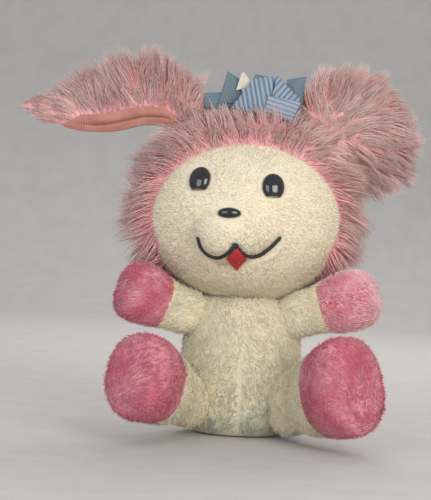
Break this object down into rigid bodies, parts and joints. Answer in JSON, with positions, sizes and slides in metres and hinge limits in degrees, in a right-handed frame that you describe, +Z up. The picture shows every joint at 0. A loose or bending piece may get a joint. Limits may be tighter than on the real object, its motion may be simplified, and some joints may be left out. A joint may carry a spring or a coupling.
{
  "type": "stuffed bunny rabbit",
  "caption": "Seated fibre-filled toy bunny with sewn limbs, floppy shaggy ears and hood, plastic eyes and nose and a folded cotton bow.",
  "frame": {"origin": "middle of the toy's width and depth, on the plane that it sits on", "axes": "+Z up through the head, -Y the way it faces, +X across the ears"},
  "size_m": [0.3148, 0.1739, 0.2833],
  "materials": {
    "cream_plush": "short cream plush",
    "pink_plush": "short pink plush",
    "shaggy_pile": "long clumped pile, pink at the roots and beige at the tips",
    "ear_lining": "finely ribbed salmon cloth",
    "fibre_stuffing": "loose polyester fibre",
    "black_plastic": "glossy moulded",
    "washer_plastic": "plain moulded",
    "black_thread": "thick twisted thread",
    "red_felt": "felt",
    "striped_cotton": "blue and white striped woven cotton",
    "cream_cotton": "plain woven cotton"
  },
  "bodies": {
    "torso": {"tail_cover": "shaggy_pile", "tail_stuffing": "fibre_stuffing", "torso_back_left_panel": "cream_plush", "torso_back_right_panel": "cream_plush", "torso_base_panel": "cream_plush", "torso_front_left_panel": "cream_plush", "torso_front_right_panel": "cream_plush", "torso_stuffing": "fibre_stuffing"},
    "neck": {"neck_stuffing": "fibre_stuffing"},
    "head": {"bow_end": "cream_cotton", "bow_knot": "striped_cotton", "bow_left_loop": "striped_cotton", "bow_right_loop": "striped_cotton", "eye_left": "black_plastic", "eye_left_washer": "washer_plastic", "eye_right": "black_plastic", "eye_right_washer": "washer_plastic", "face_panel": "cream_plush", "head_stuffing": "fibre_stuffing", "hood_left_panel": "shaggy_pile", "hood_right_panel": "shaggy_pile", "mouth_stitching": "black_thread", "nose": "black_plastic", "nose_washer": "washer_plastic", "tongue": "red_felt"},
    "ear_left": {"ear_left_lining": "ear_lining", "ear_left_pile": "shaggy_pile"},
    "ear_right": {"ear_right_lining": "ear_lining", "ear_right_pile": "shaggy_pile"},
    "arm_left": {"arm_left_paw": "pink_plush", "arm_left_sleeve": "cream_plush", "arm_left_stuffing": "fibre_stuffing"},
    "arm_right": {"arm_right_paw": "pink_plush", "arm_right_sleeve": "cream_plush", "arm_right_stuffing": "fibre_stuffing"},
    "leg_left": {"leg_left_foot": "pink_plush", "leg_left_sole": "pink_plush", "leg_left_stuffing": "fibre_stuffing", "leg_left_thigh": "cream_plush"},
    "leg_right": {"leg_right_foot": "pink_plush", "leg_right_sole": "pink_plush", "leg_right_stuffing": "fibre_stuffing", "leg_right_thigh": "cream_plush"}
  },
  "joints": [
    {"name": "head_turn", "type": "hinge", "parent": "torso", "child": "neck", "pos_m": [0.01706, 0.02095, 0.1005], "axis": [0, 0, 1], "range_deg": [-20, 20]},
    {"name": "head_nod", "type": "hinge", "parent": "neck", "child": "head", "pos_m": [0.01706, 0.02095, 0.1005], "axis": [1, 0, 0], "range_deg": [-8, 4]},
    {"name": "ear_left_lift", "type": "hinge", "parent": "head", "child": "ear_left", "pos_m": [-0.04194, 0.02295, 0.238], "axis": [0, 1, 0], "range_deg": [-8, 40]},
    {"name": "ear_right_lift", "type": "hinge", "parent": "head", "child": "ear_right", "pos_m": [0.07406, 0.02395, 0.236], "axis": [0, -1, 0], "range_deg": [-8, 40]},
    {"name": "arm_left_swing", "type": "hinge", "parent": "torso", "child": "arm_left", "pos_m": [-0.02814, 0.00995, 0.089], "axis": [0, 0, 1], "range_deg": [-20, 24]},
    {"name": "arm_right_swing", "type": "hinge", "parent": "torso", "child": "arm_right", "pos_m": [0.06706, 0.00995, 0.0905], "axis": [0, 0, -1], "range_deg": [-20, 24]},
    {"name": "leg_left_splay", "type": "hinge", "parent": "torso", "child": "leg_left", "pos_m": [-0.02394, -0.01734, 0.0295], "axis": [0, 0, -1], "range_deg": [-12, 22]},
    {"name": "leg_right_splay", "type": "hinge", "parent": "torso", "child": "leg_right", "pos_m": [0.06246, -0.01734, 0.0295], "axis": [0, 0, 1], "range_deg": [-12, 22]}
  ]
}
